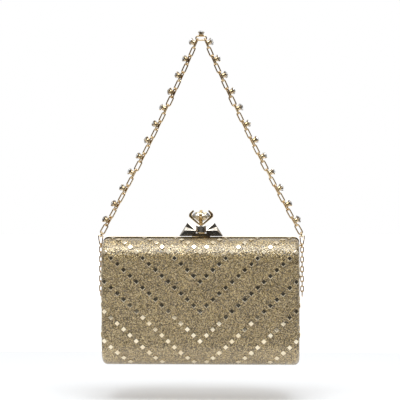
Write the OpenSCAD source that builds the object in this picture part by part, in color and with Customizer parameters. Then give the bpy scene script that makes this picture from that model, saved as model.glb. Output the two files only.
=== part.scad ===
// Hard-shell evening bag on a jewelled chain handle, all dimensions in millimetres.
// The origin is the underside of the chain's crown link, where the bag hangs.
// +Z is up, X runs along the width and the front of the bag faces -Y.

/* [Case] */
// Width of the case across its end walls
case_w = 184; // [170:0.2:190]
// Height of the covered case, without the frame's lip
case_h = 118.2; // [100:0.1:130]
// Depth of the closed case
case_d = 54; // [50:0.5:64]
// Radius of the long rolled edges at the top and bottom
roll_r = 20; // [16:0.5:21]
// Radius of the corners in the front view and of the end edges
end_r = 4.7; // [3.6:0.1:10]
// Thickness of the glitter cover
cover_t = 0.8; // [0.5:0.1:1.2]
// Thickness of the rigid shell under the cover
shell_t = 1.5; // [1:0.1:2.5]
// Thickness of the satin lining
lining_t = 0.6; // [0.4:0.1:1]

/* [Frame] */
// How far the metal frame stands above the covers
frame_lip = 1.5; // [1:0.1:3]
// How far the metal frame stands outside the end walls
frame_side = 0.4; // [0.2:0.1:0.6]
// Thickness of each half's frame, front to back
frame_t = 3; // [2.6:0.1:4]
// Width of the frame's band, seen from the front
frame_band = 3.6; // [3:0.1:5]
// Gap between the two frames
frame_gap = 0.3; // [0.2:0.05:0.5]

/* [Studs] */
// Side of each square pyramid stud
stud_side = 3.8; // [3:0.1:4.2]
// Height of each stud
stud_h = 0.85; // [0.5:0.05:0.9]
// Distance across between studs of an arm of a chevron
stud_across_step = 5.9; // [5:0.05:7]
// Distance up between studs of an arm of a chevron
stud_up_step = 5.45; // [4.6:0.05:7]
// Distance between chevrons down the middle
chevron_pitch = 27.3; // [24:0.1:32]
// Distance of the top chevron's point above the middle of the face, over the surface
chevron_top = 46.8; // [40:0.1:50]

/* [Chain] */
// Diameter of the chain's wire
wire_d = 1.3; // [1:0.05:1.5]
// Width inside a link
link_in_w = 2.6; // [2.4:0.05:3]
// Length inside a link
link_in_l = 8.62; // [8.4:0.01:9]
// Play between two links that hang taut
link_play = 0.12; // [0.08:0.01:0.2]
// Difference in slope between the top and the bottom of a strand, in degrees
strand_bow = 6; // [0:0.5:10]
// Turn of the left strand's stones towards the front, in degrees
left_turn = 28; // [0:1:28]
// Turn of the right strand's stones towards the front, in degrees
right_turn = 20; // [0:1:28]
// Turn of the plain links from edge-on towards flat-on, in degrees
plain_turn = 55; // [55:1:90]
// Height of a stone's foot above its link's wire
stone_rise = 1.5; // [0:0.1:2]
// Radius of a set stone on the chain
gem_r = 2.75; // [2.4:0.05:2.9]

/* [Clasp] */
// Half the width of the bow
bow_half = 20.8; // [16:0.1:24]
// Height of the bow's tips above the frame
bow_h = 13; // [11:0.1:15]
// Radius of the round centre stone
stone_r = 8.9; // [8:0.1:10]
// Height of the centre stone's girdle above the frame
girdle_h = 19.4; // [18.5:0.1:20.5]
// Turn of the thumb lever that frees the catch, drawn closed at 0
lever_turn = 0; // [0:1:20]

/* [Hidden] */
SIDES = ["left", "right"];
TIERS = ["upper", "middle", "lower"];

// colours
gold = [0.83, 0.70, 0.45];
bright_gold = [0.90, 0.80, 0.58];
nickel = [0.78, 0.77, 0.74];
crystal = [0.93, 0.95, 0.97, 0.6];
glitter = [0.58, 0.50, 0.38];
satin = [0.42, 0.35, 0.26];
board = [0.30, 0.27, 0.24];
steel = [0.55, 0.56, 0.58];

// chain
wire_r = wire_d / 2;
bow_r = link_in_w / 2 + wire_r;
link_half = (link_in_l - link_in_w) / 2;
link_reach = link_half + bow_r;
link_step = link_in_l - link_play;
links_per_tier = 8;
link_n = links_per_tier * len(TIERS);
crown_z = link_in_w / 2 + wire_d;
jump_r = 2.3;
bail_wire_r = 0.55;
bail_low_r = 1.2;
bail_top_r = 0.9;
bail_top_x = 1.2;
bail_h = 8.5;
eye_r = 2;
eye_wire_r = 0.5;
eye_post_r = 0.7;
eye_stand = 2.7;
tail_wire_r = 0.5;
tail_in_w = 1.6;
tail_in_l = 4.7;
tail_play = 0.1;
tail_n = 10;

// a strand's mean slope from the vertical, so that it ends over the eye
case_half = case_w / 2;
strand_x = case_half + frame_side + eye_stand - 0.8;
strand_mean = asin((strand_x - link_half - bow_r * 0.4) / (link_n * link_step));
function link_slope(i) = strand_mean + strand_bow * ((i - 1) / (link_n - 1) - 0.5);
function slope_dir(a) = [sin(a), 0, -cos(a)];
// Centre of the wire at the foot of link i; link 0 is the crown link
function link_foot(i) = i == 0
    ? [link_half, 0, crown_z] + bow_r * slope_dir(link_slope(1))
    : link_foot(i - 1) + link_step * slope_dir(link_slope(i));
function link_centre(i) = link_foot(i) - link_reach * slope_dir(link_slope(i));
jump_slope = link_slope(link_n) / 2;
jump_foot = link_foot(link_n)
    + (2 * jump_r - wire_d - link_play) * slope_dir(jump_slope);
jump_centre = jump_foot - jump_r * slope_dir(jump_slope);
bail_top_z = jump_foot[2] + wire_r + bail_wire_r + 0.1;
bail_foot_z = bail_top_z - bail_h;
eye_x = jump_foot[0];
eye_z = bail_foot_z - (eye_r - eye_wire_r - bail_wire_r - 0.1);
tail_top_z = eye_z - eye_r + eye_wire_r + tail_wire_r + 0.1;

// case
frame_top = eye_z + 8.4;
top_z = frame_top - frame_lip;
base_z = top_z - case_h;
half_d = case_d / 2;
face_half = case_h / 2 - roll_r;
mid_z = (top_z + base_z) / 2;
core_half = case_half - end_r;
roll_steps = 8;
edge_steps = 5;
hinge_z = base_z + 1.8;
knuckle_r = 1.6;
knuckle_bore = 0.8;
hinge_pin_r = 0.75;
knuckle_n = 7;
knuckle_l = 22;
knuckle_play = 0.3;
leaf_in = 2;

// clasp, with heights above the frame's top
pivot_y = -2.2;
pivot_h = 2.2;
plate_half = 8.6;
plate_t = 0.7;
lug_x = 6.3;
lug_t = 1;
lever_bore = 0.55;
latch_pin_r = 0.5;
knot_half = 4.8;
knot_foot = 3.9;
knot_top = 10.4;
culet_h = 12.4;
crown_h = 3.8;
table_r = 5.2;
prong_r = 1;
spring_wire_r = 0.16;
spring_coils = 4;

// ---- shared shapes ----

module rounded_rect(w, h, r) {
    square([w - 2 * r, h], center = true);
    square([w, h - 2 * r], center = true);
    for (x = [-1, 1], z = [-1, 1])
        translate([x * (w / 2 - r), z * (h / 2 - r)])
            circle(r, $fn = 64);
}

// A length of wire along X, centred
module wire(length, r) {
    rotate([0, 90, 0])
        cylinder(r = r, h = length, center = true, $fn = 24);
}

// A bend of wire in the XY plane about the origin, counter-clockwise from +X
module bend(r, wire_radius, turn) {
    rotate_extrude(angle = turn, $fn = 48)
        translate([r, 0])
            circle(wire_radius, $fn = 24);
}

// An oval link in the XY plane, long along X
module link(inner_l, inner_w, radius) {
    half = (inner_l - inner_w) / 2;
    mean = inner_w / 2 + radius;
    for (s = [-1, 1]) {
        translate([0, s * mean, 0])
            wire(2 * half, radius);
        translate([s * half, 0, 0])
            rotate(s * 90 - 180)
                bend(mean, radius, 180);
    }
}

// Stands a link's length along a slope in the XZ plane; its face turns about that length
module along(slope, turn) {
    rotate([0, 90 - slope, 0])
        rotate([turn, 0, 0])
            children();
}

// A stone's cup on the +Z side of a link that lies in the XY plane, on a foot of some height
module cup(rise) {
    rotate_extrude($fn = 48)
        polygon([
            [0, wire_r], [2.3, wire_r], [1.9, wire_r + 0.3 + rise / 2], [2.3, wire_r + 0.6 + rise],
            [gem_r + 0.6, 3 + rise], [gem_r + 0.6, 4 + rise], [gem_r + 0.3, 4.2 + rise],
            [gem_r + 0.05, 4.0 + rise], [gem_r + 0.05, 3.2 + rise], [0.9, 1.3 + rise],
            [0, 1.3 + rise]
        ]);
}

// The brilliant in a cup: pavilion, girdle, crown and table
module gem(rise) {
    translate([0, 0, rise]) rotate_extrude($fn = 48)
        polygon([[0, 1.5], [0.6, 1.5], [gem_r, 3.5], [gem_r, 3.75], [gem_r * 0.58, 4.85], [0, 4.85]]);
}

// ---- case ----

// One half's profile at a given inset, from the frame over the roll, down and under
function profile(inset) = let (r = roll_r - inset, y = half_d - roll_r) concat(
    [[frame_t, top_z - inset]],
    [for (i = [0:roll_steps]) let (a = 90 - 90 * i / roll_steps)
        [y + r * cos(a), top_z - roll_r + r * sin(a)]],
    [for (i = [0:roll_steps]) let (a = -90 * i / roll_steps)
        [y + r * cos(a), base_z + roll_r + r * sin(a)]],
    [[frame_t, base_z + inset]]
);

// Sections across the width: a flat end, a rounded edge, the long body and the other end
function section_edges() = concat(
    [for (i = [edge_steps:-1:0]) [-1, 90 * i / edge_steps]],
    [for (i = [0:edge_steps]) [1, 90 * i / edge_steps]]
);

function skin_points(inset) = [for (edge = section_edges())
    let (r = end_r - inset, x = edge[0] * (core_half + r * sin(edge[1])))
    for (p = profile(inset + r * (1 - cos(edge[1]))))
        [x, p[0], p[1]]];

// A wall of the half case between two insets, closed by a rim in the frame's plane
module case_wall(outer, inner) {
    n = len(profile(0));
    m = len(section_edges());
    k = n * m;
    last = k - n;
    points = concat(skin_points(outer), skin_points(inner));
    faces = concat(
        [for (i = [0:m - 2], j = [0:n - 2])
            [i * n + j, i * n + j + 1, (i + 1) * n + j + 1, (i + 1) * n + j]],
        [for (i = [0:m - 2], j = [0:n - 2])
            [k + (i + 1) * n + j, k + (i + 1) * n + j + 1, k + i * n + j + 1, k + i * n + j]],
        [[for (j = [n - 1:-1:0]) j]],
        [[for (j = [0:n - 1]) last + j]],
        [[for (j = [0:n - 1]) k + j]],
        [[for (j = [n - 1:-1:0]) k + last + j]],
        [for (i = [0:m - 2]) [i * n, (i + 1) * n, k + (i + 1) * n, k + i * n]],
        [for (i = [0:m - 2])
            [(i + 1) * n + n - 1, i * n + n - 1, k + i * n + n - 1, k + (i + 1) * n + n - 1]],
        [[0, k, k + n - 1, n - 1]],
        [[last + n - 1, k + last + n - 1, k + last, last]]
    );
    polyhedron(points, faces, convexity = 6);
}

module half_cover() {
    case_wall(0, cover_t);
}

module half_shell() {
    case_wall(cover_t, cover_t + shell_t);
}

module half_lining() {
    case_wall(cover_t + shell_t, cover_t + shell_t + lining_t);
}

module back_cover() {
    color(glitter) half_cover();
}

module front_cover() {
    color(glitter) mirror([0, 1, 0]) half_cover();
}

module back_shell() {
    color(board) half_shell();
}

module front_shell() {
    color(board) mirror([0, 1, 0]) half_shell();
}

module back_lining() {
    color(satin) half_lining();
}

module front_lining() {
    color(satin) mirror([0, 1, 0]) half_lining();
}

// A flat pocket against the back lining: a panel, two side strips and a foot
module slip_pocket() {
    pocket_w = 96;
    pocket_h = 58;
    panel_t = 0.8;
    room = 1.6;
    wall_y = half_d - cover_t - shell_t - lining_t;
    color(satin)
        translate([0, wall_y - (room + panel_t) / 2, mid_z - 6])
            difference() {
                cube([pocket_w, room + panel_t, pocket_h], center = true);
                translate([0, panel_t, panel_t])
                    cube([pocket_w - 2 * panel_t, room + panel_t, pocket_h], center = true);
            }
}

// ---- frame and hinge ----

module frame_ring() {
    h = case_h + frame_lip;
    outer_w = case_w + 2 * frame_side;
    translate([0, frame_t, base_z + h / 2])
        rotate([90, 0, 0])
            linear_extrude(frame_t - frame_gap / 2)
                difference() {
                    rounded_rect(outer_w, h, end_r + frame_side);
                    rounded_rect(
                        outer_w - 2 * frame_band, h - 2 * frame_band,
                        end_r + frame_side - frame_band
                    );
                }
}

// Every other barrel of the piano hinge, starting with the first or the second
module knuckles(first) {
    step = knuckle_l + knuckle_play;
    for (i = [first:2:knuckle_n - 1])
        translate([(i - (knuckle_n - 1) / 2) * step, 0, hinge_z])
            difference() {
                union() {
                    wire(knuckle_l, knuckle_r);
                    translate([-knuckle_l / 2, 1.2, -0.8])
                        cube([knuckle_l, leaf_in + 0.4 - 1.2, 1.6]);
                }
                wire(knuckle_l + 2, knuckle_bore);
            }
}

module half_frame(first) {
    channel = knuckle_n * (knuckle_l + knuckle_play) + 2;
    relief = hinge_z - base_z + 0.1;
    difference() {
        frame_ring();
        translate([-channel / 2, -1, base_z - 1])
            cube([channel, leaf_in + 1, frame_band + 1.4]);
        for (s = [0, 1])
            mirror([s, 0, 0])
                translate([channel / 2 - 1, -1, base_z - 1])
                    cube([case_half, frame_t + 2, relief + 1]);
    }
    knuckles(first);
}

module back_frame() {
    color(gold) half_frame(0);
}

module front_frame() {
    color(gold) mirror([0, 1, 0]) half_frame(1);
}

module hinge_pin() {
    color(steel)
        translate([0, 0, hinge_z])
            wire(knuckle_n * (knuckle_l + knuckle_play), hinge_pin_r);
}

// ---- studs ----

// Place and axes on the case's surface, for a distance across from the middle of the face
// and a distance up from it, both measured over the surface: [place, across, up, out]
function on_cover(across, up) =
    let (
        edge = end_r * PI / 2,
        turn = across <= core_half ? 0 : min(90, (across - core_half) / end_r * 180 / PI),
        past = max(0, across - core_half - edge),
        inset = end_r * (1 - cos(turn)) + past,
        roll = abs(up) <= face_half ? 0 : sign(up) * (abs(up) - face_half) / roll_r * 180 / PI,
        straight = abs(up) <= face_half ? up : sign(up) * face_half,
        normal = [cos(roll), sin(roll)],
        x = min(across, core_half) + end_r * sin(turn),
        y = half_d - roll_r + roll_r * normal[0] - inset * normal[0],
        z = mid_z + straight + (roll_r - inset) * normal[1]
    )
    [
        [x, y, z],
        [cos(turn), -sin(turn) * normal[0], -sin(turn) * normal[1]],
        [0, -normal[1], normal[0]],
        [sin(turn), cos(turn) * normal[0], cos(turn) * normal[1]]
    ];

// A stud's eight corners: a square on its point at the foot and a smaller one on top
function stud_corners(spot) = let (d = stud_side * sqrt(0.5), lift = 0.03) [
    for (level = [[d, lift], [d * 0.62, stud_h]], c = [[1, 0], [0, 1], [-1, 0], [0, -1]])
        spot[0] + level[0] * (c[0] * spot[1] + c[1] * spot[2]) + level[1] * spot[3]
];

module studs_at(spots) {
    corners = [for (s = spots) each stud_corners(on_cover(s[0], s[1]))];
    faces = [
        for (i = [0:len(spots) - 1], f = [
            [3, 2, 1, 0], [4, 5, 6, 7], [0, 1, 5, 4], [1, 2, 6, 5], [2, 3, 7, 6], [3, 0, 4, 7]
        ])
            [for (v = f) 8 * i + v]
    ];
    polyhedron(corners, [for (f = faces) [f[3], f[2], f[1], f[0]]], convexity = 6);
}

// The spots of the chevrons' arms on one side, and of their points on the middle line
stud_top = face_half + roll_r * PI / 2 - 1;
stud_low = -(face_half + roll_r * 65 / 180 * PI);
stud_far = core_half + end_r * PI / 2 + half_d - end_r - frame_t - 8;
arm_studs = 18;
function chevron_spots(first, last) = [
    for (row = [0:8], i = [first:last])
        let (across = i * stud_across_step, up = chevron_top - row * chevron_pitch + i * stud_up_step)
        if (up <= stud_top && up >= stud_low && across <= stud_far
            && (across < core_half + 3 || abs(up) < face_half + 2))
            [across, up]
];

module half_studs() {
    arm = chevron_spots(1, arm_studs);
    studs_at(arm);
    mirror([1, 0, 0]) studs_at(arm);
    studs_at(chevron_spots(0, 0));
}

module back_studs() {
    color(bright_gold) half_studs();
}

module front_studs() {
    color(bright_gold) mirror([0, 1, 0]) half_studs();
}

// ---- corner eyes and tails ----

// An upright loop on a post from the back frame's side
module eye() {
    frame_x = case_half + frame_side;
    foot_t = 0.5;
    translate([eye_x, 0, eye_z])
        rotate([0, 90, 0])
            bend(eye_r, eye_wire_r, 360);
    translate([(frame_x + eye_x) / 2, eye_r, eye_z])
        wire(eye_x - frame_x, eye_post_r);
    translate([frame_x + foot_t / 2, frame_t / 2 + 0.1, eye_z])
        wire(foot_t, 1.3);
}

module right_eye() {
    color(gold) eye();
}

module left_eye() {
    color(gold) mirror([1, 0, 0]) eye();
}

// Plain links that hang from the eye down the end wall
module tail() {
    step = tail_in_l - tail_play;
    reach = tail_in_l / 2 + tail_wire_r;
    for (i = [0:tail_n - 1])
        translate([eye_x, 0, tail_top_z - reach - i * step])
            along(0, i % 2 == 0 ? 90 : 0)
                link(tail_in_l, tail_in_w, tail_wire_r);
}

module right_tail() {
    color(gold) tail();
}

module left_tail() {
    color(gold) mirror([1, 0, 0]) tail();
}

// ---- chain ----

// Numbers of the links in a tier that carry stones, and of the plain ones
function tier_links(tier) = [for (i = [1:links_per_tier]) tier * links_per_tier + i];
function is_set(i) = i % 2 == 1;

module at_link(i, turn) {
    translate(link_centre(i))
        along(link_slope(i), turn)
            children();
}

// The links at a tier's two ends are turned less, so that they stay free when the tier swings
free_turn = 8;
function turn_of(i, turn) =
    let (first = i % links_per_tier == 1, last = i % links_per_tier == 0)
    is_set(i) ? (first ? -free_turn : -turn) : (last ? 90 : plain_turn);

module tier_wires(tier, turn) {
    for (i = tier_links(tier))
        at_link(i, turn_of(i, turn))
            link(link_in_l, link_in_w, wire_r);
}

module tier_cups(tier, turn) {
    for (i = tier_links(tier))
        if (is_set(i))
            at_link(i, turn_of(i, turn))
                cup(stone_rise);
}

module tier_gems(tier, turn) {
    for (i = tier_links(tier))
        if (is_set(i))
            at_link(i, turn_of(i, turn))
                gem(stone_rise);
}

module on_side(side) {
    mirror([side == "left" ? 1 : 0, 0, 0])
        children();
}

function side_turn(side) = side == "left" ? left_turn : right_turn;

module chain_links(side, tier) {
    color(bright_gold) on_side(side) tier_wires(tier, side_turn(side));
}

module chain_settings(side, tier) {
    color(gold) on_side(side) tier_cups(tier, side_turn(side));
}

module chain_stones(side, tier) {
    color(crystal) on_side(side) tier_gems(tier, side_turn(side));
}

module crown_link() {
    color(bright_gold)
        translate([0, 0, crown_z])
            along(90, 90)
                link(link_in_l, link_in_w, wire_r);
}

module crown_setting() {
    color(gold) translate([0, 0, crown_z + bow_r]) cup(0);
}

module crown_stone() {
    color(crystal) translate([0, 0, crown_z + bow_r]) gem(0);
}

module jump_ring(side) {
    color(bright_gold)
        on_side(side)
            translate(jump_centre)
                along(jump_slope, 0)
                    bend(jump_r, wire_r, 360);
}

// Centre line of a V-shaped bail in the XZ plane, from its foot: bow, arm, bend, top bar and back
function arc_points(centre, r, from, to, steps) =
    [for (i = [0:steps]) let (a = from + (to - from) * i / steps)
        centre + r * [cos(a), 0, sin(a)]];
bail_rise = bail_h - bail_low_r - bail_top_r;
bail_flare = atan(bail_top_x / bail_rise)
    - asin((bail_low_r - bail_top_r) / norm([bail_top_x, bail_rise]));
function bail_path() = let (bend_z = bail_low_r + bail_rise) concat(
    arc_points([0, 0, bail_low_r], bail_low_r, 180 + bail_flare, 360 - bail_flare, 10),
    arc_points([bail_top_x, 0, bend_z], bail_top_r, -bail_flare, 90, 5),
    arc_points([-bail_top_x, 0, bend_z], bail_top_r, 90, 180 + bail_flare, 5)
);

// A round wire along a closed path in the XZ plane
module wire_loop(path, r, sides) {
    n = len(path);
    function heading(i) = let (d = path[(i + 1) % n] - path[(i + n - 1) % n]) d / norm(d);
    rings = [for (i = [0:n - 1])
        let (across = [0, 1, 0], out = cross(heading(i), across))
            for (k = [0:sides - 1])
                path[i] + r * (cos(360 * k / sides) * out + sin(360 * k / sides) * across)];
    faces = [for (i = [0:n - 1], k = [0:sides - 1])
        let (i2 = (i + 1) % n, k2 = (k + 1) % sides)
            [i * sides + k, i * sides + k2, i2 * sides + k2, i2 * sides + k]];
    polyhedron(rings, faces, convexity = 4);
}

module bail(side) {
    color(bright_gold)
        on_side(side)
            translate([eye_x, 0, bail_foot_z])
                wire_loop(bail_path(), bail_wire_r, 10);
}

// ---- clasp ----

// Sets its children in the clasp's own frame: origin on the lever's pivot line, at the
// height of the frame's top
module at_clasp() {
    translate([0, pivot_y, frame_top])
        children();
}

// What turns with the thumb lever
module on_lever() {
    at_clasp()
        translate([0, 0, pivot_h])
            rotate([lever_turn, 0, 0])
                translate([0, 0, -pivot_h])
                    children();
}

// A plate on the front frame, with an apron in front that hides the barrel, and two lugs
module latch_plate() {
    plate_front = frame_t + 1.2;
    apron_t = 0.7;
    apron_h = 3;
    apron_half = 8.4;
    color(gold)
        at_clasp() {
            translate([-plate_half, -plate_front - pivot_y, 0])
                cube([2 * plate_half, plate_front - frame_gap / 2, plate_t]);
            translate([0, -plate_front - pivot_y + apron_t, apron_h / 2])
                rotate([90, 0, 0])
                    linear_extrude(apron_t)
                        rounded_rect(2 * apron_half, apron_h, 1.3);
            for (s = [0, 1])
                mirror([s, 0, 0])
                    difference() {
                        union() {
                            translate([lug_x + lug_t / 2, 0, pivot_h])
                                wire(lug_t, 1.2);
                            translate([lug_x, -0.8, plate_t / 2])
                                cube([lug_t, 2, pivot_h - plate_t / 2]);
                        }
                        translate([lug_x, 0, pivot_h])
                            wire(3, latch_pin_r + 0.03);
                    }
        }
}

module latch_pin() {
    head_t = 0.5;
    pin_half = lug_x + lug_t;
    color(steel)
        at_clasp()
            translate([0, 0, pivot_h]) {
                wire(2 * pin_half + 0.2, latch_pin_r);
                for (s = [-1, 1])
                    translate([s * (pin_half + 0.1 + head_t / 2), 0, 0])
                        wire(head_t, 0.9);
            }
}

// Points along the torsion spring: a leg, the coils round the pin, and the other leg
function spring_path() = let (r = 0.85, steps = 12, x = 4.75, pitch = 0.34) concat(
    [[x, -r, pivot_h + 0.9], [x, -r, pivot_h + 0.4]],
    [for (i = [0:spring_coils * steps]) let (a = 180 + 360 * i / steps)
        [x + pitch * i / steps, r * cos(a), pivot_h + r * sin(a)]],
    [[x + pitch * spring_coils, -r, pivot_h - 0.4], [x + pitch * spring_coils, -r, pivot_h - 1.1]]
);

// A round wire swept along a list of points that run mostly about or along X
module swept_wire(path, r, sides) {
    n = len(path);
    function heading(i) = let (d = path[min(i + 1, n - 1)] - path[max(i - 1, 0)]) d / norm(d);
    rings = [for (i = [0:n - 1])
        let (t = heading(i), a = cross(t, [1, 0, 0]), u = a / norm(a), v = cross(t, u))
        for (k = [0:sides - 1])
            path[i] + r * (cos(360 * k / sides) * u + sin(360 * k / sides) * v)];
    faces = concat(
        [[for (k = [sides - 1:-1:0]) k]],
        [[for (k = [0:sides - 1]) (n - 1) * sides + k]],
        [for (i = [0:n - 2], k = [0:sides - 1]) let (j = (k + 1) % sides)
            [i * sides + k, i * sides + j, (i + 1) * sides + j, (i + 1) * sides + k]]
    );
    polyhedron(rings, [for (f = faces) [for (k = [len(f) - 1:-1:0]) f[k]]], convexity = 6);
}

module latch_spring() {
    color(steel)
        at_clasp()
            swept_wire(spring_path(), spring_wire_r, 6);
}

// A barrel on the pin, a tongue back over the striker and a post up into the knot
module thumb_lever() {
    barrel_from = -6.1;
    barrel_to = 4.4;
    tongue_half = 3.4;
    tongue_t = 1;
    tongue_under = 1.4;
    color(gold)
        on_lever()
            difference() {
                union() {
                    translate([(barrel_from + barrel_to) / 2, 0, pivot_h])
                        wire(barrel_to - barrel_from, 1.1);
                    translate([-tongue_half, 0, tongue_under])
                        cube([2 * tongue_half, 5, tongue_t]);
                    translate([-tongue_half, -0.9, pivot_h])
                        cube([2 * tongue_half, 1.8, knot_foot - pivot_h]);
                }
                translate([0, 0, pivot_h])
                    wire(30, lever_bore);
            }
}

// A raised seat for the tongue on the back frame, with a pocket for the magnet
module striker() {
    color(gold)
        translate([0, 1.6, frame_top])
            difference() {
                translate([-4, -1, 0])
                    cube([8, 2.3, 1.2]);
                translate([0, 0.1, 0.3])
                    cylinder(r = 0.9, h = 2, $fn = 32);
            }
}

module catch_magnet() {
    color(steel)
        translate([0, 1.7, frame_top + 0.3])
            cylinder(r = 0.88, h = 0.85, $fn = 32);
}

// One wing of the bow: a kite-shaped slab that rises to a long bright facet, front and back,
// with a notch over the lug and the pin
module wing() {
    edge_t = 0.8;
    depth = 5.6;
    under = 0.9;
    bevel_top = 5.1;
    inner = knot_half + 0.03;
    notch_x = 8.6;
    notch_z = pivot_h + 1.65;
    color(nickel)
        on_lever()
            difference() {
                rotate([90, 0, 0])
                    hull() {
                        linear_extrude(edge_t, center = true)
                            polygon([[inner, under], [bow_half, under], [12.9, bow_h], [inner, 9.5]]);
                        linear_extrude(depth, center = true)
                            polygon([
                                [inner, under], [bow_half - 1.6, under], [16, bevel_top],
                                [inner, bevel_top]
                            ]);
                    }
                translate([0, -depth, 0])
                    cube([notch_x, 2 * depth, notch_z]);
            }
}

module bow_right_wing() {
    wing();
}

module bow_left_wing() {
    mirror([1, 0, 0]) wing();
}

// The knot: a bevelled block between the wings
module bow_knot() {
    mid = (knot_foot + knot_top) / 2;
    h = knot_top - knot_foot;
    color(nickel)
        on_lever()
            translate([0, 0, mid])
                hull() {
                    cube([2 * knot_half, 3.6, h], center = true);
                    cube([2 * knot_half - 2.4, 7, h - 2.6], center = true);
                }
}

// A round claw between two points, with a ball at its far end
module claw_part(from, to) {
    run = to - from;
    translate(from)
        rotate([0, atan2(run[0], run[2]), 0])
            cylinder(r = prong_r, h = norm(run), $fn = 24);
    translate(to)
        sphere(r = prong_r * 1.03, $fn = 32);
}

// Four claws that spread from a short stem and close over the stone's girdle
module stone_setting() {
    stem_r = 1.5;
    stem_top = 11.4;
    root = [0.8, 0, stem_top - 0.2];
    elbow = [stone_r + 1.1, 0, girdle_h - 0.4];
    shoulder = [stone_r + 0.9, 0, girdle_h + 1.5];
    tip = [table_r + 1.6, 0, girdle_h + crown_h + 1.2];
    color(gold)
        on_lever() {
            translate([0, 0, knot_top])
                cylinder(r = stem_r, h = stem_top - knot_top, $fn = 32);
            for (a = [0:90:270])
                rotate(a) {
                    claw_part(root, elbow);
                    claw_part(elbow, shoulder);
                    claw_part(shoulder, tip);
                }
        }
}

module centre_stone() {
    color(crystal)
        on_lever()
            rotate_extrude($fn = 64)
                polygon([
                    [0, culet_h], [0.8, culet_h], [stone_r, girdle_h],
                    [stone_r, girdle_h + 0.5], [table_r, girdle_h + crown_h],
                    [0, girdle_h + crown_h]
                ]);
}

// ---- the assembly ----

back_frame();
front_frame();
hinge_pin();
back_shell();
front_shell();
back_cover();
front_cover();
back_lining();
front_lining();
slip_pocket();
back_studs();
front_studs();
left_eye();
right_eye();
latch_plate();
latch_pin();
latch_spring();
thumb_lever();
striker();
catch_magnet();
bow_left_wing();
bow_right_wing();
bow_knot();
stone_setting();
centre_stone();
crown_link();
crown_setting();
crown_stone();
for (side = SIDES, tier = [0:len(TIERS) - 1]) {
    group = str(side, "_", TIERS[tier]);
    chain_links(side, tier);
    chain_settings(side, tier);
    chain_stones(side, tier);
}
for (side = SIDES) {
    jump_ring(side);
    bail(side);
}
left_tail();
right_tail();
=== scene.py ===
"""Looks for the evening bag: glitter covers, studs, gilt chain, cut stones and satin inside.

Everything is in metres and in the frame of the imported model. Sizes that the frame holds are read
from it; the rest are named here, in millimetres times MM.
"""
import math
import random

import bmesh
import bpy
from mathutils import Matrix, Vector, noise


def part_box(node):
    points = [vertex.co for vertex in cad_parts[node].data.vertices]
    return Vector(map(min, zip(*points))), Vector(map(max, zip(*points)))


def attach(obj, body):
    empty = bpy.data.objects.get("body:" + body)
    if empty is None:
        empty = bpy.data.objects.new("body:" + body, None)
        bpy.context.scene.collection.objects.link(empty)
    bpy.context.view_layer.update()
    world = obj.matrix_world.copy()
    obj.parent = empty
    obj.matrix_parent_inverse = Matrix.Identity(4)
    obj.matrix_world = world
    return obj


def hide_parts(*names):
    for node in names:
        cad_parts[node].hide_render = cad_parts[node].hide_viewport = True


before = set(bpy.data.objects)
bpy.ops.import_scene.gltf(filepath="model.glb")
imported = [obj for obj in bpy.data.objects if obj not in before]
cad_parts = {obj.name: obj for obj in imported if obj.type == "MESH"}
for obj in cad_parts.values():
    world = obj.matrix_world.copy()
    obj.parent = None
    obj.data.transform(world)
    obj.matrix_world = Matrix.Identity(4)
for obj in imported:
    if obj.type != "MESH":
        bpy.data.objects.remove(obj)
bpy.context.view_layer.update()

MM = 0.001
random.seed(11)

# ---- sizes taken from the frame ----

cover_low, cover_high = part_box("back_cover")
CASE_HALF = cover_high.x
HALF_DEPTH = cover_high.y
RIM_Y = cover_low.y
TOP_Z = cover_high.z
BASE_Z = cover_low.z
MID_Z = (TOP_Z + BASE_Z) / 2
FRAME_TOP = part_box("back_frame")[1].z

# the case's shape, as the CAD model has it
ROLL_R = 20 * MM
END_R = 4.7 * MM
COVER_T = 0.8 * MM
SHELL_T = 1.5 * MM
LINING_T = 0.6 * MM
FACE_HALF = TOP_Z - MID_Z - ROLL_R
CORE_HALF = CASE_HALF - END_R
END_EDGE = END_R * math.pi / 2
END_WALL_GAP = 0.8 * MM


# ---- materials ----

def node(tree, kind, settings=(), **sockets):
    """A shader node, with its properties, and its inputs linked or set by name."""
    made = tree.nodes.new(kind)
    for key, value in dict(settings).items():
        setattr(made, key, value)
    for key, value in sockets.items():
        put(tree, made.inputs[key.replace("_", " ")], value)
    return made


def put(tree, socket, value):
    if isinstance(value, bpy.types.NodeSocket):
        tree.links.new(value, socket)
    else:
        socket.default_value = value


def math_node(tree, operation, a, b=0.0, c=0.0):
    made = tree.nodes.new("ShaderNodeMath")
    made.operation = operation
    for socket, value in zip(made.inputs, (a, b, c)):
        put(tree, socket, value)
    return made.outputs[0]


def vector_node(tree, operation, a, b=(0, 0, 0), scale=None):
    made = tree.nodes.new("ShaderNodeVectorMath")
    made.operation = operation
    put(tree, made.inputs[0], a)
    put(tree, made.inputs[1], b)
    if scale is not None:
        put(tree, made.inputs["Scale"], scale)
    return made.outputs[0]


def ramp(tree, factor, stops):
    made = tree.nodes.new("ShaderNodeValToRGB")
    put(tree, made.inputs[0], factor)
    elements = made.color_ramp.elements
    while len(elements) < len(stops):
        elements.new(0.5)
    for element, (place, colour) in zip(elements, stops):
        element.position = place
        element.color = (*colour, 1)
    return made.outputs["Color"]


def spread(tree, value, low, high, from_low=0.0, from_high=1.0):
    made = node(tree, "ShaderNodeMapRange")
    put(tree, made.inputs["Value"], value)
    for key, number in (("From Min", from_low), ("From Max", from_high),
                        ("To Min", low), ("To Max", high)):
        made.inputs[key].default_value = number
    return made.outputs["Result"]


def new_material(name):
    made = bpy.data.materials.new(name)
    made.use_nodes = True
    tree = made.node_tree
    shader = tree.nodes["Principled BSDF"]
    place = tree.nodes.new("ShaderNodeTexCoord").outputs["Object"]
    return made, tree, shader, place


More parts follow.
